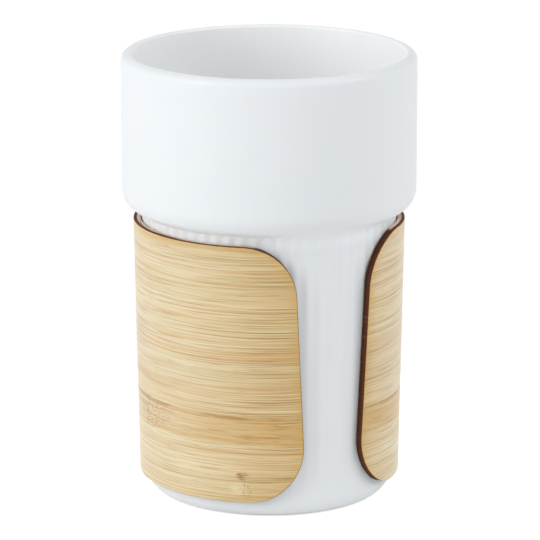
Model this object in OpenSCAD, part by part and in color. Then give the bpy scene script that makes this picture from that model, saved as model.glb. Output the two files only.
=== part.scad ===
// Tumbler: a porcelain cup with a wide upper band and a reeded, tapered waist, and a moulded bamboo
// sleeve, one curved sheet open on one side, that is pushed up the waist from below.
// Frame: +Z up, the cup stands on Z = 0 with its axis on Z, and the sleeve's opening faces -Y.

/* [Cup] */
// Height of the cup from the table to the rim
cup_height = 127.5; // [118:0.5:145]
// Outer diameter of the wide upper band
band_diameter = 84; // [82:0.5:92]
// Height of the band, from its underside to the rim
band_height = 45; // [36:0.5:52]
// Wall of the band
band_wall = 3.2; // [2.8:0.1:4]
// Rounding under the band
band_rounding = 6; // [4:0.5:8]
// Rounding on the outside of the rim
rim_outer_rounding = 2.3; // [1:0.1:2.4]
// Rounding on the inside of the rim
rim_inner_rounding = 0.8; // [0.4:0.1:1]

/* [Waist and foot] */
// Diameter over the reeds where the waist meets the band
waist_top_diameter = 72.8; // [71:0.2:75]
// Diameter over the reeds where they meet the plain foot band
waist_foot_diameter = 70; // [64:0.2:71]
// Height of the plain band at the foot, from the table
foot_band_height = 7; // [6.4:0.2:10]
// How far that band stands out past the reeds
foot_band_proud = 0.1; // [0.05:0.05:0.2]
// Wall of the waist, under the reeds
waist_wall = 3.5; // [3.4:0.1:4.2]
// Rounding at the bottom edge
foot_rounding = 4.6; // [3:0.2:6]
// Thickness of the floor
floor_thickness = 4.2; // [3:0.2:7]
// Rounding between the floor and the wall inside the cup
floor_rounding = 8; // [4:0.5:12]
// Diameter of the recess inside the foot ring
recess_diameter = 55; // [44:0.5:56]
// Depth of that recess
recess_depth = 1.6; // [1:0.1:2.4]
// Rounding at the mouth of that recess
recess_rounding = 1; // [0.4:0.1:1]

/* [Reeds] */
// Number of upright reeds round the waist
reed_count = 60; // [56:1:80]
// How far the reeds stand out under the band
reed_relief = 0.45; // [0.2:0.05:0.6]
// How far they still stand out at the foot
reed_foot_relief = 0.2; // [0.1:0.05:0.3]
// Least gap between two reeds' round backs, inside the wall
reed_gap = 0.2; // [0.1:0.05:0.6]

/* [Sleeve] */
// Thickness of the bamboo sheet
sleeve_thickness = 2.1; // [1.6:0.1:2.6]
// Room between the sleeve's upper edge and the band's underside
sleeve_headroom = 2.8; // [1:0.1:16]
// Height of the sleeve's lower edge above the table
sleeve_lift = 5.3; // [5:0.1:7]
// Gap all round between the reeds and the sleeve
sleeve_clearance = 0.3; // [0.25:0.05:0.5]
// Width of the sleeve's opening, along the outer face at mid height
opening_width = 21.2; // [14:0.2:30]
// Lean of the sleeve's two ends, in degrees, so that the opening narrows downward
end_lean = 3.2; // [0:0.1:5]
// Radius of the sleeve's four corners
corner_radius = 15.5; // [8:0.5:18]

/* [Hidden] */
$fn = 96;
// How far every cut runs past the faces that it opens
cut_overrun = 2;
// Angle between neighbouring points on the sleeve's corners
corner_step = 7.5;

band_radius = band_diameter / 2;
mouth_radius = band_radius - band_wall;
band_bottom = cup_height - band_height;
band_shoulder = band_bottom + band_rounding;
shelf_height = band_bottom + band_wall;

// The waist tapers from the band to the foot: a cone over the reeds' crests, and the wall between them
waist_foot_radius = waist_foot_diameter / 2;
waist_top_radius = waist_top_diameter / 2;
waist_height = band_bottom - foot_band_height;
foot_radius = waist_foot_radius + foot_band_proud;
wall_foot_radius = waist_foot_radius - reed_foot_relief;
wall_top_radius = waist_top_radius - reed_relief;
crest_lean = atan((waist_top_radius - waist_foot_radius) / waist_height);
wall_lean = atan((wall_top_radius - wall_foot_radius) / waist_height);
function crest_radius(z) = waist_foot_radius + (z - foot_band_height) * tan(crest_lean);
function wall_radius(z) = wall_foot_radius + (z - foot_band_height) * tan(wall_lean);

// The reeds' round backs are as wide as their number leaves room for at the foot, and each runs from
// inside the foot band up into the wide band's underside
reed_half_pitch = sin(180 / reed_count);
reed_radius = (waist_foot_radius * reed_half_pitch - reed_gap / 2) / (1 + reed_half_pitch);
reed_length = (band_bottom + band_wall / 3 - foot_rounding) / cos(crest_lean);

// The cup's inside
floor_height = recess_depth + floor_thickness;
shelf_rounding = (mouth_radius - wall_radius(band_bottom) + waist_wall) / 2;
function bore_radius(z) = wall_radius(z) - waist_wall;

// The sleeve's cone lies a clearance outside the reeds' crests
sleeve_bottom = sleeve_lift;
sleeve_top = band_bottom - sleeve_headroom;
sleeve_height = sleeve_top - sleeve_bottom;
sleeve_middle = (sleeve_bottom + sleeve_top) / 2;
function sleeve_inner(z) = crest_radius(z) + sleeve_clearance / cos(crest_lean);
function sleeve_outer(z) = sleeve_inner(z) + sleeve_thickness / cos(crest_lean);

// One side of the opening, drawn on the unrolled sheet as [distance from the middle of the opening,
// height above mid height]: the lower corner's arc, the leaning end, the upper corner's arc
corner_height = sleeve_height / 2 - corner_radius;
function corner_centre(v) = [opening_width / 2 + v * tan(end_lean) + corner_radius / cos(end_lean), v];
function corner_arc(v, from, to) = [
    for (i = [0 : ceil((to - from) / corner_step)])
    let (a = from + (to - from) * i / ceil((to - from) / corner_step))
    corner_centre(v) + corner_radius * [-cos(a), sin(a)]
];
opening_edge = concat(
    [corner_centre(-corner_height) - [0, corner_radius + cut_overrun]],
    corner_arc(-corner_height, -90, end_lean),
    corner_arc(corner_height, end_lean, 90),
    [corner_centre(corner_height) + [0, corner_radius + cut_overrun]]
);

// Filled half section of the whole cup, before it is hollowed
module cup_outline() {
    foot_centre = [foot_radius - foot_rounding, foot_rounding];
    polygon([
        [0, 0],
        [foot_centre.x, 0],
        foot_centre,
        [foot_radius, foot_rounding],
        [foot_radius, foot_band_height],
        [wall_foot_radius, foot_band_height],
        [wall_radius(band_shoulder), band_shoulder],
        [0, band_shoulder]
    ]);
    translate(foot_centre)
        circle(foot_rounding);
    band_outline();
}

// Half section of the wide band with its rounded underside and rim
module band_outline() {
    shoulder_centre = [band_radius - band_rounding, band_shoulder];
    polygon([
        [0, band_bottom],
        [shoulder_centre.x, band_bottom],
        shoulder_centre,
        [band_radius, band_shoulder],
        [band_radius, cup_height - rim_outer_rounding],
        [band_radius - rim_outer_rounding, cup_height - rim_outer_rounding],
        [band_radius - rim_outer_rounding, cup_height],
        [0, cup_height]
    ]);
    translate(shoulder_centre)
        circle(band_rounding);
    translate([band_radius - rim_outer_rounding, cup_height - rim_outer_rounding])
        circle(rim_outer_rounding);
}

// Half section of the space inside the cup, open at the mouth
module cavity_outline() {
    shelf_x = mouth_radius - shelf_rounding;
    shelf_z = shelf_height + shelf_rounding;
    floor_z = floor_height + floor_rounding;
    floor_centre = [bore_radius(floor_z) - floor_rounding, floor_z];
    // The waist's bore with its round floor corner
    polygon([
        [0, floor_height],
        [floor_centre.x, floor_height],
        floor_centre,
        [floor_centre.x + floor_rounding, floor_centre.y],
        [bore_radius(shelf_height - shelf_rounding), shelf_height - shelf_rounding],
        [0, shelf_height - shelf_rounding]
    ]);
    translate(floor_centre)
        circle(floor_rounding);
    // The S-shaped shelf where the bore widens into the band
    difference() {
        translate([0, shelf_height - shelf_rounding])
            square([shelf_x, shelf_rounding]);
        translate([shelf_x, shelf_height - shelf_rounding])
            circle(shelf_rounding);
    }
    translate([shelf_x, shelf_z])
        circle(shelf_rounding);
    // The band's bore above the shelf
    translate([0, shelf_height])
        square([shelf_x, cup_height + cut_overrun - shelf_height]);
    translate([0, shelf_z])
        square([mouth_radius, cup_height + cut_overrun - shelf_z]);
    rim_flare();
}

// The rounded inner edge of the rim, as the corner that it takes away
module rim_flare() {
    difference() {
        translate([mouth_radius - cut_overrun, cup_height - rim_inner_rounding])
            square([rim_inner_rounding + cut_overrun, rim_inner_rounding + cut_overrun]);
        translate([mouth_radius + rim_inner_rounding, cup_height - rim_inner_rounding])
            circle(rim_inner_rounding);
    }
}

// Half section of the recess inside the foot ring, with a rounded mouth
module recess_outline() {
    recess_radius = recess_diameter / 2;
    translate([0, -cut_overrun])
        square([recess_radius, recess_depth + cut_overrun]);
    difference() {
        translate([0, -cut_overrun])
            square([recess_radius + recess_rounding, recess_rounding + cut_overrun]);
        translate([recess_radius + recess_rounding, recess_rounding])
            circle(recess_rounding);
    }
}

// One upright reed: a round bar let into the wall up to its back
module reed() {
    translate([crest_radius(foot_rounding) - reed_radius / cos(crest_lean), 0, foot_rounding])
        rotate([0, crest_lean, 0])
        cylinder(r = reed_radius, h = reed_length);
}

module porcelain_cup() {
    color([0.93, 0.94, 0.95]) {
        rotate_extrude()
            difference() {
                cup_outline();
                cavity_outline();
                recess_outline();
            }
        for (i = [0 : reed_count - 1])
            rotate([0, 0, 360 * i / reed_count])
            reed();
    }
}

// The sleeve's opening as one solid: level by level a wedge whose two sides point at the cup's axis,
// so the sheet's ends and corners are cut square to its face
module sleeve_opening() {
    near = crest_radius(sleeve_bottom) / 2;
    far = 2 * sleeve_outer(sleeve_top);
    levels = len(opening_edge);
    points = [
        for (edge = opening_edge)
        let (z = sleeve_middle + edge.y, half = edge.x / sleeve_outer(z) * 180 / PI)
        for (corner = [[near, -half], [far, -half], [far, half], [near, half]])
        [corner.x * sin(corner.y), -corner.x * cos(corner.y), z]
    ];
    sides = [
        for (i = [0 : levels - 2])
        for (j = [0 : 3])
        let (a = 4 * i + j, b = 4 * i + (j + 1) % 4)
        each [[a, a + 4, b], [b, a + 4, b + 4]]
    ];
    last = 4 * (levels - 1);
    ends = [[0, 1, 2], [0, 2, 3], [last, last + 2, last + 1], [last, last + 3, last + 2]];
    polyhedron(points, concat(sides, ends));
}

module bamboo_sleeve() {
    color([0.85, 0.71, 0.5])
    difference() {
        rotate_extrude()
            polygon([
                [sleeve_inner(sleeve_bottom), sleeve_bottom],
                [sleeve_outer(sleeve_bottom), sleeve_bottom],
                [sleeve_outer(sleeve_top), sleeve_top],
                [sleeve_inner(sleeve_top), sleeve_top]
            ]);
        sleeve_opening();
    }
}

porcelain_cup();
bamboo_sleeve();
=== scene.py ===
"""A porcelain tumbler with a wide upper band and a reeded, tapered waist, and the moulded bamboo
sleeve, open in front, that is pushed up the waist from below. Everything is in metres in the frame
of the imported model: +Z up, the cup stands on Z = 0 with its axis on Z, the opening faces -Y."""

import math
from collections import namedtuple

import bpy
import numpy as np
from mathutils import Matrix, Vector


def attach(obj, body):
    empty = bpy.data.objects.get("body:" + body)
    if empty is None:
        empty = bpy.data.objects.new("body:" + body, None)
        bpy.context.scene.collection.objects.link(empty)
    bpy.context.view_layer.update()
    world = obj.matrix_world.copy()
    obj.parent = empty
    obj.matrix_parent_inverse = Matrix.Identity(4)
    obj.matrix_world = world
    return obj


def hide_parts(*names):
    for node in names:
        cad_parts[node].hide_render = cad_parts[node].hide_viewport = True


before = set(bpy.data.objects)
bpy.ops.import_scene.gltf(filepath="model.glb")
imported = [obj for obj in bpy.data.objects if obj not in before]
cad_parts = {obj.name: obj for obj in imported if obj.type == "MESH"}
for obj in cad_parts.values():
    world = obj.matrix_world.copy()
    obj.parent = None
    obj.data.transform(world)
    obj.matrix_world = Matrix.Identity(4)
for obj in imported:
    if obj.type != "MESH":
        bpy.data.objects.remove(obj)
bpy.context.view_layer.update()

MM = 0.001
FULL_TURN = 2 * math.pi

# Camera, as fitted to the photograph's outlines
IMAGE_WIDTH = 540
SENSOR_WIDTH = 36.0
FOCAL_PIXELS = 3997.0
CAMERA_AZIMUTH = math.radians(-29.4)
CAMERA_ELEVATION = math.radians(14.569)
CAMERA_DISTANCE = 1147.2 * MM
CAMERA_TARGET = Vector((0.0, 0.0, 60 * MM))
CENTRE_SHIFT_X = 0.832 / IMAGE_WIDTH
CENTRE_SHIFT_Y = 12.066 / IMAGE_WIDTH
CLIP_START = 0.05
CLIP_END = 50

# Cup
CUP_HEIGHT = 127.5 * MM
BAND_RADIUS = 41.98 * MM
BAND_BOTTOM = 82.5 * MM
BAND_ROUNDING = 6 * MM
BAND_FILLET = 0.8 * MM
RIM_OUTER_ROUNDING = 2.3 * MM
RIM_INNER_ROUNDING = 0.8 * MM
MOUTH_RADIUS = 38.8 * MM
SHELF_HEIGHT = 85.7 * MM
FLOOR_HEIGHT = 5.8 * MM
FLOOR_ROUNDING = 8 * MM
FOOT_RADIUS = 35.1 * MM
FOOT_ROUNDING = 4.6 * MM
FOOT_BAND_TOP = 7 * MM
FOOT_BAND_STEP = 0.3 * MM
RECESS_RADIUS = 27.5 * MM
RECESS_DEPTH = 1.6 * MM
RECESS_ROUNDING = 1 * MM
RECESS_CORNER = 0.6 * MM
WAIST_FOOT_RADIUS = 35 * MM
WAIST_TOP_RADIUS = 36.4 * MM
BORE_FOOT_RADIUS = 31.3 * MM
BORE_TOP_RADIUS = 32.45 * MM

# Reeds: how deep the valleys between them are, how that grows upwards, and where it begins and ends
REED_COUNT = 60
REED_RELIEF_TOP = 0.36 * MM
REED_RELIEF_FOOT = 0.07 * MM
REED_RELIEF_SHAPE = 2.5
REED_START = (FOOT_BAND_TOP, FOOT_BAND_TOP + 2 * MM)
REED_END = (BAND_BOTTOM - 0.8 * MM, BAND_BOTTOM + 0.05 * MM)
COLUMNS_PER_REED = 10

# Sleeve, as its outline on the unrolled sheet
SLEEVE_BOTTOM = 5.3 * MM
SLEEVE_TOP = 79.7 * MM
SLEEVE_MIDDLE = (SLEEVE_BOTTOM + SLEEVE_TOP) / 2
SLEEVE_HALF_HEIGHT = (SLEEVE_TOP - SLEEVE_BOTTOM) / 2
SLEEVE_CLEARANCE = 0.3 * MM
SLEEVE_THICKNESS = 2.1 * MM
OPENING_WIDTH = 21.2 * MM
END_LEAN = math.radians(3.2)
CORNER_RADIUS = 15.5 * MM
ARRIS_RADIUS = 0.22 * MM
ARRIS_STEPS = 4
SHEET_COLUMNS = 320
CORNER_ROWS = 22
END_ROWS = 26
SHEET_RADIUS = 38.06 * MM
SHEET_HALF = math.pi * SHEET_RADIUS


def linear(red, green, blue):
    """A colour given as 0 to 255 display values, as the linear colour that a shader takes."""
    shares = np.array([red, green, blue]) / 255
    values = np.where(shares <= 0.04045, shares / 12.92, ((shares + 0.055) / 1.055) ** 2.4)
    return (*(float(v) for v in values), 1.0)


# Light: the sky's strength, then each soft box's name, place, size and power
WHITE = (1.0, 1.0, 1.0, 1.0)
SKY_COLOUR = linear(252, 254, 255)
SKY_HORIZON = 0.62
SKY_OVERHEAD = 0.3
SOFT_BOXES = (
    ("left_softbox", (-1.59, -0.02, 0.9), (1.0, 1.5), 16.8),
    ("right_softbox", (0.98, -0.97, 1.22), (1.5, 1.0), 11.4),
)

# Floor: how much whiter it looks than it is lit, and how far out it is clear to direct rays
FLOOR_RADIUS = 6.0
FLOOR_SIDES = 96
FLOOR_COLOUR = (0.92, 0.92, 0.92, 1.0)
FLOOR_LIFT = 0.5
FLOOR_CLEAR = (0.06, 0.16)

# Colours of the porcelain
PORCELAIN_LIGHT = linear(240, 243, 246)
PORCELAIN_DARK = linear(238, 242, 245)
# Painted light: the inside is given a whiter glaze colour than the outside, to lift its shade
PORCELAIN_INSIDE_PAINTED_LIGHT = linear(252, 253, 254)
# Painted light: the corner under the band is given a whiter glaze colour, to lift the shade of that
# crease
PORCELAIN_CORNER_PAINTED_LIGHT = linear(250, 253, 255)
BISCUIT = linear(231, 227, 218)
BISCUIT_SPECK = linear(212, 204, 190)

# In these tables a step is two levels between which a value changes and, where they aren't 0 and 1,
# its two values there. Glaze and painted light: the heights and radii, in metres, between which the
# glaze gives way to bare biscuit, and between which the inside and the corner under the band are
# painted whiter to lift their shade
BARE_BELOW = (0.25 * MM, 0.5 * MM, 1.0, 0.0)
BARE_OUTSIDE = (RECESS_RADIUS, RECESS_RADIUS + 0.4 * MM)
# Painted light: where the cup's inside, upper and lower, is painted whiter
PAINTED_LIGHT_MOUTH_WITHIN = (MOUTH_RADIUS + 0.1 * MM, MOUTH_RADIUS + 0.9 * MM, 1.0, 0.0)
PAINTED_LIGHT_MOUTH_ABOVE = (BAND_BOTTOM + 5 * MM, BAND_BOTTOM + 8 * MM)
PAINTED_LIGHT_BORE_WITHIN = (BORE_TOP_RADIUS + 0.5 * MM, BORE_TOP_RADIUS + 1.7 * MM, 1.0, 0.0)
PAINTED_LIGHT_BORE_ABOVE = (3 * MM, 5 * MM)
# Painted light: where the corner under the band is painted whiter
PAINTED_LIGHT_CORNER_ABOVE = (BAND_BOTTOM - 5.5 * MM, BAND_BOTTOM - 2 * MM)
PAINTED_LIGHT_CORNER_BELOW = (BAND_BOTTOM, BAND_BOTTOM + 4 * MM, 1.0, 0.0)

# Surface of the porcelain: patches and grains per metre, roughness, and depth of the bump
GLAZE_CLOUDS = 22.0
GLOSS_CLOUDS = 25.0
GLAZE_WAVES = 90.0
GLAZE_ROUGHNESS = (0.38, 0.43)
GLAZE_SPECULAR = 0.4
GLAZE_BUMP_STRENGTH = 0.12
GLAZE_BUMP_DEPTH = 0.02 * MM
BISCUIT_GRAIN = 2600.0
BISCUIT_SPECKS = (0.66, 0.74)
BISCUIT_LEVEL = 0.6
BISCUIT_ROUGHNESS = 0.8

# Colours of the bamboo, its knots and its charred cut
BAMBOO_PALE = linear(238, 223, 189)
BAMBOO_PALE_STREAK = linear(229, 211, 170)
BAMBOO_TAN = linear(226, 202, 148)
BAMBOO_TAN_STREAK = linear(212, 183, 122)
BAMBOO_CREAM = linear(240, 228, 200)
BAMBOO_WARM = linear(226, 184, 122)
BAMBOO_BLUSH = linear(232, 204, 160)
BAMBOO_LINE = linear(168, 118, 48)
BAMBOO_ORANGE = linear(206, 146, 78)
BAMBOO_STRIP = linear(210, 168, 100)
BAMBOO_MOTTLE = linear(172, 124, 76)
BAMBOO_TOASTED = linear(216, 170, 88)
KNOT_DARK = linear(152, 98, 44)
KNOT_PALE = linear(242, 226, 184)
CHAR_OUTER = linear(94, 44, 14)
CHAR_INNER = linear(62, 34, 18)
CHAR_STREAK = linear(42, 22, 10)
CHAR_LINE = linear(112, 72, 44)
TOP_CUT = linear(228, 210, 194)
TOP_CUT_STREAK = linear(186, 146, 124)

# Grain: the length and width of its marks in millimetres, the noise's detail and seed, and the step
# of noise at which separate marks show. Patch: an oval's centre and half sizes, the size of its
# uneven places, and the step from its middle outwards at which it fades
Grain = namedtuple("Grain", "length width detail seed step", defaults=(None,))
Patch = namedtuple("Patch", "centre half_sizes uneven step")
Sheet = namedtuple("Sheet", "vector along height depth gap across end_gap reach near_end")

# Fibres of the bamboo, in millimetres along the sheet and above the table
FIBRE_WANDER = Grain(55.0, 18.0, 1.0, 3.1)
FIBRE_RIPPLE = Grain(13.0, 3.0, 1.0, 7.7)
WANDER_HEIGHT = 1.5
RIPPLE_HEIGHT = 0.25
BROAD_FIBRES = Grain(90.0, 3.0, 2.0, 1.3)
MIDDLE_FIBRES = Grain(44.0, 0.9, 2.0, 5.9)
FINE_FIBRES = Grain(26.0, 0.3, 1.0, 9.4)
TONE_SHARES = (0.3, 0.3, 0.4)
TONE_SPLIT = (0.4, 0.6)
SIDE_REACH = (-20.0, 20.0, 2.2, 1.0)
NEAR_END = (38.0, 16.0, 0.42, 1.0)
TAN_NEAR_END = (54.0, 8.0)

# Marks laid over the fibres: soft streaks, dark lines and hairs, dashes and short fibres
SOFT_STREAKS = (
    (Grain(30.0, 6.0, 2.0, 28.4, (0.45, 0.7, 0.0, 0.4)), BAMBOO_BLUSH),
    (Grain(48.0, 0.5, 1.0, 21.3, (0.56, 0.66, 0.0, 0.3)), BAMBOO_CREAM),
    (Grain(60.0, 1.0, 1.0, 12.5, (0.58, 0.7, 0.0, 0.42)), BAMBOO_WARM),
)
DARK_HAIRS = Grain(60.0, 0.26, 0.0, 25.6, (0.56, 0.68, 0.0, 0.4))
DARK_LINES = Grain(120.0, 0.36, 0.0, 15.2, (0.6, 0.68))
DARK_LINES_SHOWN = Grain(34.0, 2.2, 1.0, 18.8, (0.4, 0.58, 0.15, 1.0))
DARK_LINES_STRENGTH = 0.85
SHORT_MARKS = (
    Grain(8.0, 0.34, 1.0, 41.0, (0.68, 0.76, 0.0, 0.5)),
    Grain(15.0, 0.26, 0.0, 47.0, (0.58, 0.72, 0.0, 0.4)),
)

# Orange streaks, weaker on one side, in groups with a height, half width and strength each
ORANGE_STREAKS = Grain(80.0, 0.5, 1.0, 52.0, (0.44, 0.58))
ORANGE_SIDE = (-20.0, 20.0, 0.4, 1.0)
ORANGE_GROUPS = ((48.2, 1.9, 0.5), (37.6, 2.2, 0.3), (73.0, 1.8, 0.3), (19.2, 1.2, 0.3))
ORANGE_FADE = (0.5, 1.2)

# Strips of the culm: where each begins and how light it is, over the span of the ramp
STRIP_TONES = ((5.3, 0.975), (14.0, 1.0), (22.4, 1.0), (30.4, 1.0), (39.0, 0.97), (47.5, 0.99),
               (56.0, 1.0), (64.5, 0.98), (72.5, 0.96))
STRIP_SPAN = 100.0

# The darker strip, the dark line along its top and the broken bar just under that
STRIP_BOTTOM = 22.4
STRIP_TOP = 30.4
STRIP_FADE_IN = (STRIP_BOTTOM - 0.8, STRIP_BOTTOM + 0.8)
STRIP_FADE_OUT = (STRIP_TOP - 0.1, STRIP_TOP + 0.1, 1.0, 0.0)
STRIP_STRENGTH = (58.0, 20.0, 0.2, 0.6)
STRIP_FLECKS = Grain(9.0, 0.42, 2.0, 35.0, (0.52, 0.64, 0.0, 0.6))
SEAM_WIDTH = (0.1, 0.4, 0.7, 0.0)
SEAM_BREAKS = Grain(14.0, 9.0, 2.0, 0.0, (0.35, 0.55, 0.35, 1.0))
BAR_DROP = 0.5
BAR_WIDTH = (0.2, 0.6, 0.8, 0.0)
BAR_BREAKS = Grain(11.0, 9.0, 1.0, 66.0, (0.48, 0.56))

# Knots: their places along and above the table, then the marks of one knot round its place
KNOTS = ((92.3, 13.0), (30.0, 18.4), (-62.0, 34.5), (-35.0, 51.6), (12.0, 68.8), (-14.0, 9.6))
KNOT_MARKS = (
    (Patch((0.0, 0.0), (2.4, 1.3), 1.4, (0.4, 1.15, 0.9, 0.0)),
     Grain(3.0, 0.6, 1.0, 4.0, (0.42, 0.56, 0.1, 1.0))),
    (Patch((6.0, -1.0), (12.0, 1.2), 2.0, (0.3, 1.1, 0.55, 0.0)),
     Grain(22.0, 0.4, 1.0, 8.0, (0.5, 0.62))),
    (Patch((1.0, -3.8), (2.1, 3.0), 2.0, (0.3, 1.1, 0.4, 0.0)),
     Grain(0.9, 2.4, 2.0, 14.0, (0.5, 0.62))),
)
KNOT_PALE_PATCH = Patch((-1.4, -3.8), (2.8, 2.4), 2.5, (0.1, 1.2, 0.5, 0.0))
MOTTLED_PATCH = Patch((59.0, 26.4), (10.0, 5.2), 4.0, (0.3, 1.2, 0.62, 0.0))
MOTTLED_MARKS = Grain(1.9, 0.42, 1.0, 31.0, (0.48, 0.6))
UNEVEN_FLATNESS = 0.6
UNEVEN_DETAIL = 2.0
UNEVEN_SEED = 6.0

# Golden tone: beside the cut, where it is weaker low down, and under the top edge
TOP_EDGE = SLEEVE_TOP / MM
TOAST_CLOSE = (0.2, 1.5, 0.6, 0.0)
TOAST_WIDE = (0.4, 4.0, 0.3, 0.0)
TOAST_ABOVE = (8.0, 18.0, 0.25, 1.0)
GOLDEN_UNDER_TOP = (TOP_EDGE - 3.4, TOP_EDGE - 1.0, 0.0, 0.5)
GOLDEN_ALONG = (88.0, 60.0, 0.2, 1.0)

# Charred cut: how far it reaches on to the faces, where it is weaker along the lower edge, how it
# changes with depth, and the part along the top that is left pale
CHAR_RAGGED = Grain(1.1, 1.1, 2.0, 22.0, (0.3, 0.7, -0.05, 0.05))
CHAR_REACH = (0.03, 0.16, 1.0, 0.0)
CHAR_WEAK_BELOW = (5.6, 7.5, 0.75, 0.0)
CHAR_WEAK_DEPTH = (0.1, 0.3, 1.0, 0.0)
CHAR_STRIATION_SCALE = 3000.0
CHAR_STRIATION = (0.35, 0.65, 0.0, 0.3)
CHAR_INNER_FROM = (0.7, 1.3)
CHAR_ON_FACE = (0.02, 0.2, 1.0, 0.0)
TOP_CUT_ABOVE = (TOP_EDGE - 0.5, TOP_EDGE - 0.05)
TOP_CUT_FROM = (0.8, 1.2)
TOP_CUT_TO = (1.85, 2.0, 1.0, 0.3)
TOP_CUT_LAYERS = Grain(12.0, 0.3, 1.0, 71.0, (0.45, 0.62))

# Surface of the bamboo: a thin varnish that the char has burnt off, and raised fibres
BAMBOO_GLOSS_PATCHES = 90.0
BAMBOO_ROUGHNESS = (0.36, 0.46)
BAMBOO_SPECULAR = 0.22
CHAR_ROUGHER = 0.25
VARNISH_ON_CHAR = (0.0, 1.0, 0.45, 0.0)
VARNISH_ROUGHNESS = 0.28
FINE_FIBRE_LEVEL = 0.6
BAMBOO_BUMP_STRENGTH = 0.25
BAMBOO_BUMP_DEPTH = 0.04 * MM

# The levels of noise between which an uneven value wanders
UNEVEN_NOISE = (0.3, 0.7)
UNEVEN_NOISE_DETAIL = 3.0
NOISE_MIDDLE = 0.5


def between(start, end, share):
    """The value a share of the way from start to end."""
    return start + (end - start) * share


def arc(centre, radius, start, end, steps):
    """Points (radius, height) on a circle from one angle to another, in degrees from the outward
    direction: centre + radius (cos a, sin a)."""
    angles = np.radians(np.linspace(start, end, steps + 1))
    return np.stack([centre[0] + radius * np.cos(angles), centre[1] + radius * np.sin(angles)], 1)


def line(start, end, steps):
    """Evenly spaced points from start to end, without the two ends."""
    shares = np.linspace(0, 1, steps + 1)[1:-1, None]
    return between(np.asarray(start), np.asarray(end), shares)


def waist_share(height):
    """How far up the waist a height is, from 0 at the foot band to 1 at the upper band."""
    return (height - FOOT_BAND_TOP) / (BAND_BOTTOM - FOOT_BAND_TOP)


def crest_radius(height):
    """The waist's cone over the reeds: it widens evenly from the foot band to the upper band."""
    return between(WAIST_FOOT_RADIUS, WAIST_TOP_RADIUS, waist_share(height))


def bore_radius(height):
    """The cone of the cup's inside, behind the waist."""
    return between(BORE_FOOT_RADIUS, BORE_TOP_RADIUS, waist_share(height))


def smooth_step(low, high, values):
    """0 below low, 1 above high, and 3t^2 - 2t^3 between."""
    t = np.clip((values - low) / (high - low), 0, 1)
    return t * t * (3 - 2 * t)


def cup_outside():
    """The cup's outer half section from the middle of the foot recess to the top of the rim. The
    fillet between waist and band touches the waist's line and the circle of the band's rounding."""
    shoulder = (BAND_RADIUS - BAND_ROUNDING, BAND_BOTTOM + BAND_ROUNDING)
    fillet_x = WAIST_TOP_RADIUS + BAND_FILLET
    reach = BAND_ROUNDING + BAND_FILLET
    fillet_z = shoulder[1] - math.sqrt(reach ** 2 - (fillet_x - shoulder[0]) ** 2)
    turn = math.degrees(math.atan2(shoulder[1] - fillet_z, shoulder[0] - fillet_x))
    foot = (FOOT_RADIUS - FOOT_ROUNDING, FOOT_ROUNDING)
    rim = (BAND_RADIUS - RIM_OUTER_ROUNDING, CUP_HEIGHT - RIM_OUTER_ROUNDING)
    recess_edge = RECESS_RADIUS - RECESS_ROUNDING
    recess_corner = (RECESS_RADIUS - RECESS_CORNER, RECESS_DEPTH - RECESS_CORNER)
    recess_mouth = (RECESS_RADIUS + RECESS_ROUNDING, RECESS_ROUNDING)
    waist_start = FOOT_BAND_TOP + FOOT_BAND_STEP
    waist_foot = (crest_radius(waist_start), waist_start)
    return np.concatenate([
        line((0, RECESS_DEPTH), (recess_edge, RECESS_DEPTH), steps=5),
        arc(recess_corner, RECESS_CORNER, 90, 0, steps=4),
        arc(recess_mouth, RECESS_ROUNDING, 180, 270, steps=6)[1:],
        arc(foot, FOOT_ROUNDING, -90, 0, steps=12),
        [(FOOT_RADIUS, FOOT_BAND_TOP - FOOT_BAND_STEP), waist_foot],
        line(waist_foot, (WAIST_TOP_RADIUS, fillet_z), steps=30),
        arc((fillet_x, fillet_z), BAND_FILLET, 180, turn, steps=6),
        arc(shoulder, BAND_ROUNDING, turn - 180, 0, steps=14)[1:],
        line((BAND_RADIUS, shoulder[1]), (BAND_RADIUS, rim[1]), steps=8),
        arc(rim, RIM_OUTER_ROUNDING, 0, 90, steps=10),
    ])


def cup_inside():
    """The cup's inner half section from the top of the rim down to the middle of the floor."""
    lip = (MOUTH_RADIUS + RIM_INNER_ROUNDING, CUP_HEIGHT - RIM_INNER_ROUNDING)
    bend = (MOUTH_RADIUS - bore_radius(BAND_BOTTOM)) / 2
    shelf = MOUTH_RADIUS - bend
    floor_z = FLOOR_HEIGHT + FLOOR_ROUNDING
    floor_x = bore_radius(floor_z) - FLOOR_ROUNDING
    return np.concatenate([
        arc(lip, RIM_INNER_ROUNDING, 90, 180, steps=6),
        line((MOUTH_RADIUS, lip[1]), (MOUTH_RADIUS, SHELF_HEIGHT + bend), steps=8),
        arc((shelf, SHELF_HEIGHT + bend), bend, 0, -90, steps=8),
        arc((shelf, SHELF_HEIGHT - bend), bend, 90, 180, steps=8)[1:],
        line((shelf - bend, SHELF_HEIGHT - bend), (floor_x + FLOOR_ROUNDING, floor_z), steps=14),
        arc((floor_x, floor_z), FLOOR_ROUNDING, 0, -90, steps=10),
        line((floor_x, FLOOR_HEIGHT), (0, FLOOR_HEIGHT), steps=6),
    ])


def grid_faces(rows, columns, closed):
    """Quads of a grid of points numbered row by row; a closed grid joins its last column to its first."""
    last_column = columns if closed else columns - 1
    row, column = np.meshgrid(np.arange(rows - 1), np.arange(last_column), indexing="ij")
    beside = (column + 1) % columns
    corners = [
        row * columns + column,
        row * columns + beside,
        (row + 1) * columns + beside,
        (row + 1) * columns + column,
    ]
    return np.stack(corners, -1).reshape(-1, 4)


def fan_faces(centre, ring, flip):
    """Triangles from one point to each side of a closed ring of points."""
    following = np.roll(ring, -1)
    order = (following, ring) if flip else (ring, following)
    return np.stack([np.full(len(ring), centre), *order], 1)


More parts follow.
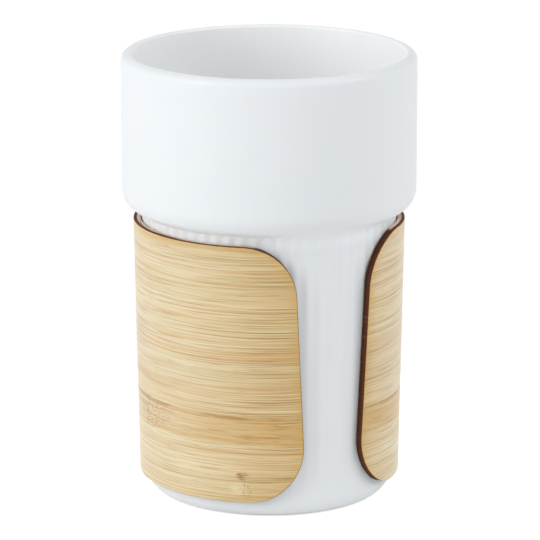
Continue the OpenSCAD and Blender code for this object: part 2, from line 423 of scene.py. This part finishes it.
def make_piece(name, points, faces, material):
    """A smooth-shaded mesh object at the origin from points and lists of faces."""
    mesh = bpy.data.meshes.new(name)
    mesh.from_pydata(points.tolist(), [], [face for part in faces for face in part.tolist()])
    mesh.polygons.foreach_set("use_smooth", np.ones(len(mesh.polygons), bool))
    mesh.materials.append(material)
    mesh.update()
    piece = bpy.data.objects.new(name, mesh)
    bpy.context.scene.collection.objects.link(piece)
    return piece


def make_cup(material):
    """The cup as its half section carried round the axis: at angle a and section point (r, z) the
    radius is r - relief(z) (1 - cos(n a)) / 2, where the relief of the n reeds grows from the foot
    band to the upper band and is nothing elsewhere."""
    outside = cup_outside()
    section = np.concatenate([outside, cup_inside()])
    columns = REED_COUNT * COLUMNS_PER_REED
    angles = np.arange(columns) * FULL_TURN / columns
    height = section[:, 1]
    share = np.clip(waist_share(height), 0, 1)
    relief = between(REED_RELIEF_FOOT, REED_RELIEF_TOP, share ** REED_RELIEF_SHAPE)
    relief = relief * smooth_step(*REED_START, height)
    relief = relief * (1 - smooth_step(*REED_END, height))
    relief[len(outside):] = 0
    valley = (1 - np.cos(REED_COUNT * angles)) / 2
    radius = section[:, :1] - relief[:, None] * valley
    heights = np.repeat(height[:, None], columns, 1)
    rings = np.stack([radius * np.sin(angles), -radius * np.cos(angles), heights], -1)
    middles = [(0, 0, RECESS_DEPTH), (0, 0, FLOOR_HEIGHT)]
    points = np.concatenate([rings.reshape(-1, 3), middles])
    count = len(section) * columns
    faces = [
        grid_faces(len(section), columns, closed=True),
        fan_faces(count, np.arange(columns), flip=True),
        fan_faces(count + 1, np.arange(count - columns, count), flip=False),
    ]
    return make_piece("cup", points, faces, material)


def sleeve_outer(height):
    """The cone of the sleeve's outer face: the clearance and the thickness outside the reeds'
    cone, measured square to it."""
    taper = math.atan((WAIST_TOP_RADIUS - WAIST_FOOT_RADIUS) / (BAND_BOTTOM - FOOT_BAND_TOP))
    return crest_radius(height) + (SLEEVE_CLEARANCE + SLEEVE_THICKNESS) / math.cos(taper)


def sheet_outline(inset):
    """One end of the unrolled sheet, drawn in by inset, as (distance from the middle of the opening,
    height above mid height): the lower corner's arc, the leaning end, the upper corner's arc."""
    corner_height = SLEEVE_HALF_HEIGHT - CORNER_RADIUS
    lean = math.degrees(END_LEAN)

    def corner(height, start, end):
        centre = OPENING_WIDTH / 2 + height * math.tan(END_LEAN) + CORNER_RADIUS / math.cos(END_LEAN)
        points = arc((0, 0), CORNER_RADIUS - inset, start, end, CORNER_ROWS)
        return np.stack([centre - points[:, 0], height + points[:, 1]], 1)

    lower = corner(-corner_height, -90, lean)
    upper = corner(corner_height, lean, 90)
    return np.concatenate([lower, line(lower[-1], upper[0], END_ROWS), upper])


def sleeve_points(place, depth):
    """Points of the sleeve from places (distance along the sheet, height above mid height) and a
    depth from the outer face: the angle is the distance over the outer radius at that height."""
    height = place[..., 1] + SLEEVE_MIDDLE
    outer = sleeve_outer(height)
    angle = place[..., 0] / outer
    radius = outer - depth
    return np.stack([radius * np.sin(angle), -radius * np.cos(angle), height], -1)


def sheet_grid(inset):
    """Places over the whole sheet, row by row, from the outline at one side of the opening round to
    the outline at the other side, whose distance is the full turn less the first one's."""
    edge = sheet_outline(inset)
    turn = FULL_TURN * sleeve_outer(edge[:, 1] + SLEEVE_MIDDLE)
    share = np.linspace(0, 1, SHEET_COLUMNS)
    along = edge[:, :1] + (turn - 2 * edge[:, 0])[:, None] * share
    return np.stack([along, np.repeat(edge[:, 1:], SHEET_COLUMNS, 1)], -1)


def rim_loop(grid):
    """The grid's outer border as one closed loop: first row, last column, last row back, first
    column back."""
    return np.concatenate([grid[0, :-1], grid[:-1, -1], grid[-1, :0:-1], grid[:0:-1, 0]])


def cut_profile():
    """The cut edge from the outer to the inner face as (inset, depth): a quarter circle at each
    arris, of which a point is r (1 - sin a) in and r (1 - cos a) deep, and a straight wall between."""
    angles = np.radians(np.linspace(0, 90, ARRIS_STEPS + 1))
    outer = ARRIS_RADIUS * np.stack([1 - np.sin(angles), 1 - np.cos(angles)], 1)
    wall = line((0, ARRIS_RADIUS), (0, SLEEVE_THICKNESS - ARRIS_RADIUS), steps=6)
    inner = np.stack([outer[::-1, 0], SLEEVE_THICKNESS - outer[::-1, 1]], 1)
    return np.concatenate([outer, wall, inner])


def cut_gap(grid):
    """How far each place of the grid is from the cut: the least of its distances from the two level
    edges and from the points of the outline at both ends."""
    outline = sheet_grid(0)
    along, height = grid.reshape(-1, 2).T
    gap = np.minimum(height + SLEEVE_HALF_HEIGHT, SLEEVE_HALF_HEIGHT - height)
    for point in np.concatenate([outline[:, 0], outline[:, -1]]):
        gap = np.minimum(gap, np.hypot(along - point[0], height - point[1]))
    return gap


def add_attribute(piece, name, kind, field, values):
    """A value for each point of the piece, which its material reads."""
    attribute = piece.data.attributes.new(name, kind, "POINT")
    attribute.data.foreach_set(field, values.astype(np.float32).ravel())


def make_sleeve(material):
    """The moulded sheet as a closed shell: an outer and an inner face on the same grid of places, and
    a cut edge carried round the outline. The attribute place holds the distance along the sheet from
    the middle of the back, the height and the depth; edge_gap the distance from the cut."""
    grid = sheet_grid(ARRIS_RADIUS)
    rows, columns = grid.shape[:2]
    count = rows * columns
    border = rim_loop(np.arange(count).reshape(rows, columns))
    places = [grid.reshape(-1, 2), grid.reshape(-1, 2)]
    depths = [np.zeros(count), np.full(count, SLEEVE_THICKNESS)]
    rings = [border]
    start = 2 * count
    for inset, depth in cut_profile()[1:-1]:
        loop = rim_loop(sheet_grid(inset))
        places.append(loop)
        depths.append(np.full(len(loop), depth))
        rings.append(np.arange(start, start + len(loop)))
        start += len(loop)
    rings = np.stack([*rings, border + count])
    following = np.roll(rings, -1, 1)
    face = grid_faces(rows, columns, closed=False)
    edge = np.stack([rings[:-1], rings[1:], following[1:], following[:-1]], -1).reshape(-1, 4)

    place = np.concatenate(places)
    depth = np.concatenate(depths)
    points = sleeve_points(place, depth)
    piece = make_piece("sleeve", points, [face, face[:, ::-1] + count, edge], material)
    edge_gap = np.zeros(len(place))
    edge_gap[:2 * count] = np.tile(cut_gap(grid), 2)
    along = np.arctan2(-points[:, 0], points[:, 1]) * SHEET_RADIUS
    measures = np.column_stack([along, points[:, 2], depth])
    add_attribute(piece, "place", "FLOAT_VECTOR", "vector", measures)
    add_attribute(piece, "edge_gap", "FLOAT", "value", edge_gap)
    return piece


class NodeSketch:
    """Adds nodes to one node tree and joins them; a number, a colour or another node's output may be
    given for any input."""

    def __init__(self, tree):
        self.nodes = tree.nodes
        self.links = tree.links

    def put(self, socket, value):
        if isinstance(value, bpy.types.NodeSocket):
            self.links.new(value, socket)
        else:
            socket.default_value = value

    def fill(self, sockets, **values):
        """Puts each value into the input of its name, with spaces for the name's underscores."""
        for name, value in values.items():
            self.put(sockets[name.replace("_", " ")], value)

    def node(self, kind, **settings):
        made = self.nodes.new("ShaderNode" + kind)
        for name, value in settings.items():
            setattr(made, name, value)
        return made

    def math(self, operation, *values):
        made = self.node("Math", operation=operation)
        for socket, value in zip(made.inputs, values):
            self.put(socket, value)
        return made.outputs[0]

    def times(self, first, *others):
        for other in others:
            first = self.math("MULTIPLY", first, other)
        return first

    def plus(self, first, second):
        return self.math("ADD", first, second)

    def less(self, first, second):
        return self.math("SUBTRACT", first, second)

    def larger(self, first, second):
        return self.math("MAXIMUM", first, second)

    def away(self, value, centre):
        """How far a value is from the centre, on either side."""
        return self.math("ABSOLUTE", self.less(value, centre))

    def length(self, first, second):
        """The square root of the sum of two squares."""
        first = self.math("POWER", self.math("ABSOLUTE", first), 2.0)
        second = self.math("POWER", self.math("ABSOLUTE", second), 2.0)
        return self.math("POWER", self.plus(first, second), 0.5)

    def ease(self, value, low, high, start=0.0, end=1.0):
        """Runs smoothly from start to end while value runs from low to high."""
        made = self.node("MapRange", interpolation_type="SMOOTHSTEP")
        self.fill(made.inputs, Value=value, From_Min=low, From_Max=high, To_Min=start, To_Max=end)
        return made.outputs["Result"]

    def mix(self, share, first, second, blend="MIX"):
        made = self.node("Mix", data_type="RGBA", blend_type=blend)
        self.put(made.inputs["Factor"], share)
        self.put(made.inputs[6], first)
        self.put(made.inputs[7], second)
        return made.outputs[2]

    def mix_numbers(self, share, first, second):
        made = self.node("Mix", data_type="FLOAT")
        self.put(made.inputs[0], share)
        self.put(made.inputs[2], first)
        self.put(made.inputs[3], second)
        return made.outputs[0]

    def parts(self, point):
        """The three coordinates of a point."""
        made = self.node("SeparateXYZ")
        self.put(made.inputs[0], point)
        return tuple(made.outputs)

    def point(self, x, y, z):
        made = self.node("CombineXYZ")
        for socket, value in zip(made.inputs, (x, y, z)):
            self.put(socket, value)
        return made.outputs[0]

    def noise(self, point, scale, detail=2.0):
        made = self.node("TexNoise")
        self.fill(made.inputs, Vector=point, Scale=scale, Detail=detail, Roughness=0.5)
        return made.outputs["Fac"]

    def bump(self, strength, distance, height):
        made = self.node("Bump")
        self.fill(made.inputs, Strength=strength, Distance=distance, Height=height)
        return made.outputs[0]

    def grain(self, along, across, kind):
        """Noise drawn out into streaks of about the kind's length and width."""
        stretched = self.point(
            self.math("DIVIDE", along, kind.length), self.math("DIVIDE", across, kind.width), kind.seed
        )
        return self.noise(stretched, 1.0, kind.detail)

    def marks(self, along, across, kind):
        """Grain of which only what passes the kind's step of noise shows."""
        return self.ease(self.grain(along, across, kind), *kind.step)

    def patch(self, along, height, kind):
        """An oval patch that fades outwards: its step is in shares of its half sizes, and noise makes
        its shape irregular."""
        across = self.math("DIVIDE", self.less(along, kind.centre[0]), kind.half_sizes[0])
        up = self.math("DIVIDE", self.less(height, kind.centre[1]), kind.half_sizes[1])
        uneven_grain = Grain(kind.uneven, kind.uneven * UNEVEN_FLATNESS, UNEVEN_DETAIL, UNEVEN_SEED)
        wobble = self.less(self.grain(along, height, uneven_grain), NOISE_MIDDLE)
        return self.ease(self.plus(self.length(across, up), wobble), *kind.step)


def new_material(name):
    """An empty node material, a sketch of its tree and its Principled shader."""
    material = bpy.data.materials.new(name)
    material.use_nodes = True
    tree = material.node_tree
    return material, NodeSketch(tree), tree.nodes["Principled BSDF"]


def new_group(name, inputs, outputs):
    """An empty node group with its sockets, a sketch of its tree, and its inputs and outputs."""
    group = bpy.data.node_groups.new(name, "ShaderNodeTree")
    for socket, kind in inputs:
        group.interface.new_socket(socket, in_out="INPUT", socket_type="NodeSocket" + kind)
    for socket in outputs:
        group.interface.new_socket(socket, in_out="OUTPUT", socket_type="NodeSocketFloat")
    given = group.nodes.new("NodeGroupInput").outputs
    result = group.nodes.new("NodeGroupOutput").inputs
    return group, NodeSketch(group), given, result


def make_uneven_group():
    """A group that lets a value wander between two limits over patches of a given size."""
    inputs = (("Point", "Vector"), ("Patches per metre", "Float"), ("Low", "Float"), ("High", "Float"))
    group, sketch, given, result = new_group("uneven_value", inputs, ("Value",))
    wander = sketch.noise(given["Point"], given["Patches per metre"], UNEVEN_NOISE_DETAIL)
    sketch.put(result["Value"], sketch.ease(wander, *UNEVEN_NOISE, given["Low"], given["High"]))
    return group


def uneven(sketch, group, point, patches, low, high):
    """The uneven group placed in a material, with its own values."""
    placed = sketch.node("Group", node_tree=group)
    sketch.fill(placed.inputs, Point=point, Patches_per_metre=patches, Low=low, High=high)
    return placed.outputs["Value"]


def make_knot_group():
    """A group that marks one knot of the culm, in millimetres: a dark knuckle, thin tails along the
    fibres, mostly on one side, and below it veins and, more to the other side, a pale patch."""
    names = ("Along", "Height", "Centre along", "Centre height")
    inputs = tuple((name, "Float") for name in names)
    group, sketch, given, result = new_group("knot_mark", inputs, ("Dark", "Pale"))
    along = sketch.less(given["Along"], given["Centre along"])
    height = sketch.less(given["Height"], given["Centre height"])
    knuckle, tail, veins = (
        sketch.times(sketch.patch(along, height, patch), sketch.marks(along, height, grain))
        for patch, grain in KNOT_MARKS
    )
    sketch.put(result["Dark"], sketch.larger(sketch.larger(knuckle, tail), veins))
    sketch.put(result["Pale"], sketch.patch(along, height, KNOT_PALE_PATCH))
    return group


def make_porcelain(uneven_group):
    """Cool white satin glaze, a little uneven in gloss and level, and bare biscuit under the foot. It
    is whiter inside and in the corner under the band, to bring both nearer to the brightness that
    they have in the photograph."""
    material, sketch, shader = new_material("glazed_porcelain")
    place = sketch.node("TexCoord").outputs["Object"]
    x, y, height = sketch.parts(place)
    radius = sketch.length(x, y)
    bare = sketch.times(sketch.ease(height, *BARE_BELOW), sketch.ease(radius, *BARE_OUTSIDE))
    # Painted light: masks of the cup's inside, upper and lower, where the glaze colour is painted whiter
    # to lift its shade
    mouth_painted_light = sketch.times(sketch.ease(radius, *PAINTED_LIGHT_MOUTH_WITHIN), sketch.ease(height, *PAINTED_LIGHT_MOUTH_ABOVE))
    bore_painted_light = sketch.times(sketch.ease(radius, *PAINTED_LIGHT_BORE_WITHIN), sketch.ease(height, *PAINTED_LIGHT_BORE_ABOVE))
    # Painted light: mask of the corner under the band, where the glaze colour is painted whiter to lift
    # the shade of that crease
    corner = sketch.times(sketch.ease(height, *PAINTED_LIGHT_CORNER_ABOVE), sketch.ease(height, *PAINTED_LIGHT_CORNER_BELOW))

    cloud = uneven(sketch, uneven_group, place, GLAZE_CLOUDS, 0.0, 1.0)
    glaze = sketch.mix(cloud, PORCELAIN_LIGHT, PORCELAIN_DARK)
    # Painted light: the inside gets a whiter glaze colour, standing in for light the scene doesn't bring
    # there
    glaze = sketch.mix(sketch.larger(mouth_painted_light, bore_painted_light), glaze, PORCELAIN_INSIDE_PAINTED_LIGHT)
    # Painted light: the corner under the band gets a whiter glaze colour, standing in for light the scene
    # doesn't bring there
    glaze = sketch.mix(corner, glaze, PORCELAIN_CORNER_PAINTED_LIGHT)
    grain = sketch.noise(place, BISCUIT_GRAIN)
    biscuit = sketch.mix(sketch.ease(grain, *BISCUIT_SPECKS), BISCUIT, BISCUIT_SPECK)
    gloss = uneven(sketch, uneven_group, place, GLOSS_CLOUDS, *GLAZE_ROUGHNESS)
    waves = sketch.noise(place, GLAZE_WAVES, 0.0)
    level = sketch.math("MULTIPLY_ADD", grain, sketch.times(bare, BISCUIT_LEVEL), waves)
    sketch.put(shader.inputs["Base Color"], sketch.mix(bare, glaze, biscuit))
    sketch.put(shader.inputs["Roughness"], sketch.mix_numbers(bare, gloss, BISCUIT_ROUGHNESS))
    sketch.put(shader.inputs["Normal"], sketch.bump(GLAZE_BUMP_STRENGTH, GLAZE_BUMP_DEPTH, level))
    shader.inputs["Specular IOR Level"].default_value = GLAZE_SPECULAR
    return material


def read_sheet(sketch):
    """A point's place on the sheet in millimetres, and what follows from it: across is the height
    that the fibres keep to, which wander slowly and ripple a little; near_end is 1 at the ends of the
    sheet and less away from them, sooner on the side where along is negative."""
    vector = sketch.node("Attribute", attribute_name="place").outputs["Vector"]
    along, height, depth = (sketch.times(part, 1 / MM) for part in sketch.parts(vector))
    gap = sketch.times(sketch.node("Attribute", attribute_name="edge_gap").outputs["Fac"], 1 / MM)
    wander = sketch.less(sketch.grain(along, height, FIBRE_WANDER), NOISE_MIDDLE)
    ripple = sketch.less(sketch.grain(along, height, FIBRE_RIPPLE), NOISE_MIDDLE)
    across = sketch.plus(height, sketch.times(wander, WANDER_HEIGHT))
    across = sketch.plus(across, sketch.times(ripple, RIPPLE_HEIGHT))
    end_gap = sketch.less(SHEET_HALF / MM, sketch.math("ABSOLUTE", along))
    reach = sketch.times(end_gap, sketch.ease(along, *SIDE_REACH))
    near_end = sketch.ease(reach, *NEAR_END)
    return Sheet(vector, along, height, depth, gap, across, end_gap, reach, near_end)


def lay_fibres(sketch, sheet):
    """The colour of the level fibres, and their relief: broad, middle and fine fibres in two tones,
    soft streaks, thin dark lines and hairs that come and go, and groups of orange streaks."""
    place = (sheet.along, sheet.across)
    broad = sketch.grain(*place, BROAD_FIBRES)
    middle = sketch.grain(*place, MIDDLE_FIBRES)
    fine = sketch.grain(*place, FINE_FIBRES)
    broad_share, middle_share, fine_share = TONE_SHARES
    tone = sketch.plus(sketch.times(broad, broad_share), sketch.times(middle, middle_share))
    tone = sketch.plus(tone, sketch.times(fine, fine_share))
    tan_share = sketch.ease(sheet.reach, *TAN_NEAR_END)
    pale = sketch.mix(tan_share, BAMBOO_PALE, BAMBOO_TAN)
    deep = sketch.mix(tan_share, BAMBOO_PALE_STREAK, BAMBOO_TAN_STREAK)
    colour = sketch.mix(sketch.ease(tone, *TONE_SPLIT), deep, pale)
    for kind, streak_colour in SOFT_STREAKS:
        colour = sketch.mix(sketch.marks(*place, kind), colour, streak_colour)

    hairs = sketch.times(sketch.marks(*place, DARK_HAIRS), sheet.near_end)
    colour = sketch.mix(hairs, colour, BAMBOO_LINE)
    lines = sketch.times(
        sketch.marks(*place, DARK_LINES), sketch.marks(*place, DARK_LINES_SHOWN), sheet.near_end
    )
    colour = sketch.mix(sketch.times(lines, DARK_LINES_STRENGTH), colour, BAMBOO_LINE)
    for kind in SHORT_MARKS:
        colour = sketch.mix(sketch.marks(*place, kind), colour, BAMBOO_LINE)

    streaks = sketch.times(sketch.marks(*place, ORANGE_STREAKS), sketch.ease(sheet.along, *ORANGE_SIDE))
    for height, half_width, strength in ORANGE_GROUPS:
        fade = (half_width * share for share in ORANGE_FADE)
        group = sketch.ease(sketch.away(sheet.across, height), *fade, strength, 0.0)
        colour = sketch.mix(sketch.times(group, streaks), colour, BAMBOO_ORANGE)
    relief = sketch.less(sketch.plus(middle, sketch.times(fine, FINE_FIBRE_LEVEL)), lines)
    return colour, relief


def lay_strips(sketch, sheet, colour):
    """The strips of the culm differ a little in tone; one is darker and flecked, with a sharp dark
    line along its top and a broken bar just under that."""
    ramp = sketch.node("ValToRGB")
    stops = ramp.color_ramp.elements
    ramp.color_ramp.interpolation = "CONSTANT"
    for number, (begins, light) in enumerate(STRIP_TONES):
        stop = stops[0] if number == 0 else stops.new(begins / STRIP_SPAN)
        stop.position = begins / STRIP_SPAN
        stop.color = (light, light, light, 1.0)
    stops.remove(stops[-1])
    sketch.put(ramp.inputs[0], sketch.math("DIVIDE", sheet.across, STRIP_SPAN))
    colour = sketch.mix(1.0, colour, ramp.outputs["Color"], "MULTIPLY")

    strip = sketch.times(
        sketch.ease(sheet.across, *STRIP_FADE_IN), sketch.ease(sheet.across, *STRIP_FADE_OUT)
    )
    strength = sketch.ease(sheet.end_gap, *STRIP_STRENGTH)
    colour = sketch.mix(sketch.times(strip, strength), colour, BAMBOO_STRIP)
    flecks = sketch.marks(sheet.along, sheet.across, STRIP_FLECKS)
    colour = sketch.mix(sketch.times(flecks, strip, sheet.near_end), colour, BAMBOO_LINE)
    seam = sketch.ease(sketch.away(sheet.across, STRIP_TOP), *SEAM_WIDTH)
    seam = sketch.times(seam, sketch.marks(sheet.along, sheet.height, SEAM_BREAKS))
    colour = sketch.mix(seam, colour, BAMBOO_LINE)
    bar = sketch.ease(sketch.away(sheet.across, STRIP_TOP - BAR_DROP), *BAR_WIDTH)
    bar = sketch.times(bar, sheet.near_end, sketch.marks(sheet.along, sheet.height, BAR_BREAKS))
    return sketch.mix(bar, colour, BAMBOO_LINE)


def lay_knots(sketch, sheet, colour):
    """Knots in about half of the strips, each a small dark knuckle with tails, veins and a pale patch,
    and mottling in the dark strip."""
    knot_group = make_knot_group()
    for along, height in KNOTS:
        knot = sketch.node("Group", node_tree=knot_group)
        sketch.fill(knot.inputs, Along=sheet.along, Height=sheet.height,
                    Centre_along=along, Centre_height=height)
        colour = sketch.mix(knot.outputs["Pale"], colour, KNOT_PALE)
        colour = sketch.mix(knot.outputs["Dark"], colour, KNOT_DARK)
    mottled = sketch.patch(sheet.along, sheet.height, MOTTLED_PATCH)
    mottled = sketch.times(mottled, sketch.marks(sheet.along, sheet.height, MOTTLED_MARKS))
    return sketch.mix(mottled, colour, BAMBOO_MOTTLE)


def lay_char(sketch, sheet, colour):
    """A golden tone beside the cut and under the top edge, and the charred cut with a thin line on
    the face. Along the top, the cut is pale between its outer part and its inner arris. Gives
    the colour, and how much of it is char."""
    golden = sketch.larger(sketch.ease(sheet.gap, *TOAST_CLOSE), sketch.ease(sheet.gap, *TOAST_WIDE))
    golden = sketch.times(golden, sketch.ease(sheet.height, *TOAST_ABOVE))
    under_top = sketch.times(
        sketch.ease(sheet.height, *GOLDEN_UNDER_TOP), sketch.ease(sheet.along, *GOLDEN_ALONG)
    )
    colour = sketch.mix(sketch.larger(golden, under_top), colour, BAMBOO_TOASTED)

    ragged = sketch.marks(sheet.along, sheet.height, CHAR_RAGGED)
    char = sketch.ease(sketch.plus(sheet.gap, ragged), *CHAR_REACH)
    weak = sketch.times(
        sketch.ease(sheet.height, *CHAR_WEAK_BELOW), sketch.ease(sheet.depth, *CHAR_WEAK_DEPTH)
    )
    char = sketch.times(char, sketch.less(1.0, weak))
    cut = sketch.mix(sketch.ease(sheet.depth, *CHAR_INNER_FROM), CHAR_OUTER, CHAR_INNER)
    striation = sketch.noise(sheet.vector, CHAR_STRIATION_SCALE)
    cut = sketch.mix(sketch.ease(striation, *CHAR_STRIATION), cut, CHAR_STREAK)
    cut = sketch.mix(sketch.ease(sheet.depth, *CHAR_ON_FACE), cut, CHAR_LINE)
    layers = sketch.marks(sheet.along, sheet.depth, TOP_CUT_LAYERS)
    pale_cut = sketch.mix(layers, TOP_CUT, TOP_CUT_STREAK)
    # Along the top, the cut is pale between its outer part and its inner arris
    pale_top_cut = sketch.times(
        sketch.ease(sheet.height, *TOP_CUT_ABOVE),
        sketch.ease(sheet.depth, *TOP_CUT_FROM),
        sketch.ease(sheet.depth, *TOP_CUT_TO),
    )
    cut = sketch.mix(pale_top_cut, cut, pale_cut)
    return sketch.mix(char, colour, cut), char


def make_bamboo(uneven_group):
    """Varnished bamboo veneer whose fibres run round the cup: fibres, strips and knots of the culm,
    and a cut edge charred where the sheet was cut."""
    material, sketch, shader = new_material("moulded_bamboo")
    sheet = read_sheet(sketch)
    colour, relief = lay_fibres(sketch, sheet)
    colour = lay_strips(sketch, sheet, colour)
    colour = lay_knots(sketch, sheet, colour)
    colour, char = lay_char(sketch, sheet, colour)
    gloss = uneven(sketch, uneven_group, sheet.vector, BAMBOO_GLOSS_PATCHES, *BAMBOO_ROUGHNESS)
    rough = sketch.plus(gloss, sketch.times(char, CHAR_ROUGHER))
    sketch.put(shader.inputs["Base Color"], colour)
    sketch.put(shader.inputs["Roughness"], rough)
    sketch.put(shader.inputs["Normal"], sketch.bump(BAMBOO_BUMP_STRENGTH, BAMBOO_BUMP_DEPTH, relief))
    sketch.put(shader.inputs["Coat Weight"], sketch.ease(char, *VARNISH_ON_CHAR))
    shader.inputs["Coat Roughness"].default_value = VARNISH_ROUGHNESS
    shader.inputs["Specular IOR Level"].default_value = BAMBOO_SPECULAR
    return material


def make_camera():
    """The camera stands on a line from the target, at the fitted azimuth, elevation and distance."""
    back = Vector((
        math.sin(CAMERA_AZIMUTH) * math.cos(CAMERA_ELEVATION),
        -math.cos(CAMERA_AZIMUTH) * math.cos(CAMERA_ELEVATION),
        math.sin(CAMERA_ELEVATION),
    ))
    data = bpy.data.cameras.new("camera")
    data.sensor_width = SENSOR_WIDTH
    data.lens = FOCAL_PIXELS / IMAGE_WIDTH * SENSOR_WIDTH
    data.shift_x = CENTRE_SHIFT_X
    data.shift_y = CENTRE_SHIFT_Y
    data.clip_start = CLIP_START
    data.clip_end = CLIP_END
    camera = bpy.data.objects.new("camera", data)
    camera.location = CAMERA_TARGET + back * CAMERA_DISTANCE
    camera.rotation_mode = "QUATERNION"
    camera.rotation_quaternion = (-back).to_track_quat("-Z", "Y")
    bpy.context.scene.collection.objects.link(camera)
    bpy.context.scene.camera = camera


def make_lamp(name, place, aim, size, power):
    """A rectangular area lamp at place, turned towards aim."""
    data = bpy.data.lights.new(name, "AREA")
    data.shape = "RECTANGLE"
    data.size, data.size_y = size
    data.energy = power
    lamp = bpy.data.objects.new(name, data)
    lamp.location = place
    lamp.rotation_mode = "QUATERNION"
    lamp.rotation_quaternion = (Vector(aim) - Vector(place)).to_track_quat("-Z", "Y")
    bpy.context.scene.collection.objects.link(lamp)


def direct_rays(sketch):
    """1 for camera, glossy and transmission rays, 0 for all other rays."""
    path = sketch.node("LightPath").outputs
    direct = sketch.larger(path["Is Camera Ray"], path["Is Glossy Ray"])
    return sketch.larger(direct, path["Is Transmission Ray"])


def make_light():
    """A soft sky, brighter at the horizon than overhead, that shows plain white to camera, glossy and
    transmission rays, and two large soft boxes."""
    world = bpy.data.worlds.new("studio")
    bpy.context.scene.world = world
    world.use_nodes = True
    sketch = NodeSketch(world.node_tree)
    upwards = sketch.parts(sketch.node("TexCoord").outputs["Generated"])[2]
    strength = sketch.math(
        "MULTIPLY_ADD", sketch.larger(upwards, 0.0), SKY_OVERHEAD - SKY_HORIZON, SKY_HORIZON
    )
    soft = world.node_tree.nodes["Background"]
    sketch.fill(soft.inputs, Strength=strength, Color=SKY_COLOUR)
    white = sketch.node("Background")
    sketch.fill(white.inputs, Color=WHITE)
    mix = sketch.node("MixShader")
    sketch.put(mix.inputs["Fac"], direct_rays(sketch))
    sketch.put(mix.inputs[1], soft.outputs["Background"])
    sketch.put(mix.inputs[2], white.outputs["Background"])
    sketch.put(world.node_tree.nodes["World Output"].inputs["Surface"], mix.outputs["Shader"])
    for name, place, size, power in SOFT_BOXES:
        make_lamp(name, place, CAMERA_TARGET, size, power)


def make_floor():
    """A wide pale disc that lights the cup from below and takes its shadow. Camera, glossy and
    transmission rays see it whiter than it is lit, and only round the cup: further out they pass
    through it to the white world. From below it is clear to all rays. Seen from above, it hides
    part of a lowered sleeve."""
    angles = np.arange(FLOOR_SIDES) * FULL_TURN / FLOOR_SIDES
    edge = FLOOR_RADIUS * np.stack([np.cos(angles), np.sin(angles), np.zeros(FLOOR_SIDES)], 1)
    material, sketch, shader = new_material("pale_floor")
    direct = direct_rays(sketch)
    away = sketch.node("VectorMath", operation="LENGTH")
    sketch.put(away.inputs[0], sketch.node("TexCoord").outputs["Object"])
    fade = sketch.ease(away.outputs["Value"], *FLOOR_CLEAR)
    below = sketch.node("NewGeometry").outputs["Backfacing"]
    clear = sketch.larger(sketch.times(direct, fade), below)
    shader.inputs["Base Color"].default_value = FLOOR_COLOUR
    shader.inputs["Roughness"].default_value = 1.0
    shader.inputs["Specular IOR Level"].default_value = 0.0
    shader.inputs["Emission Color"].default_value = WHITE
    sketch.put(shader.inputs["Emission Strength"], sketch.times(direct, FLOOR_LIFT))
    sketch.put(shader.inputs["Alpha"], sketch.less(1.0, clear))
    floor = make_piece("floor", edge, [np.arange(FLOOR_SIDES)[None, :]], material)


make_camera()
make_light()
make_floor()

uneven_group = make_uneven_group()
cup = make_cup(make_porcelain(uneven_group))
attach(cup, "cup")
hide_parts("porcelain_cup")

sleeve = make_sleeve(make_bamboo(uneven_group))
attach(sleeve, "sleeve")
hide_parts("bamboo_sleeve")

bpy.context.scene.view_settings.view_transform = "Standard"
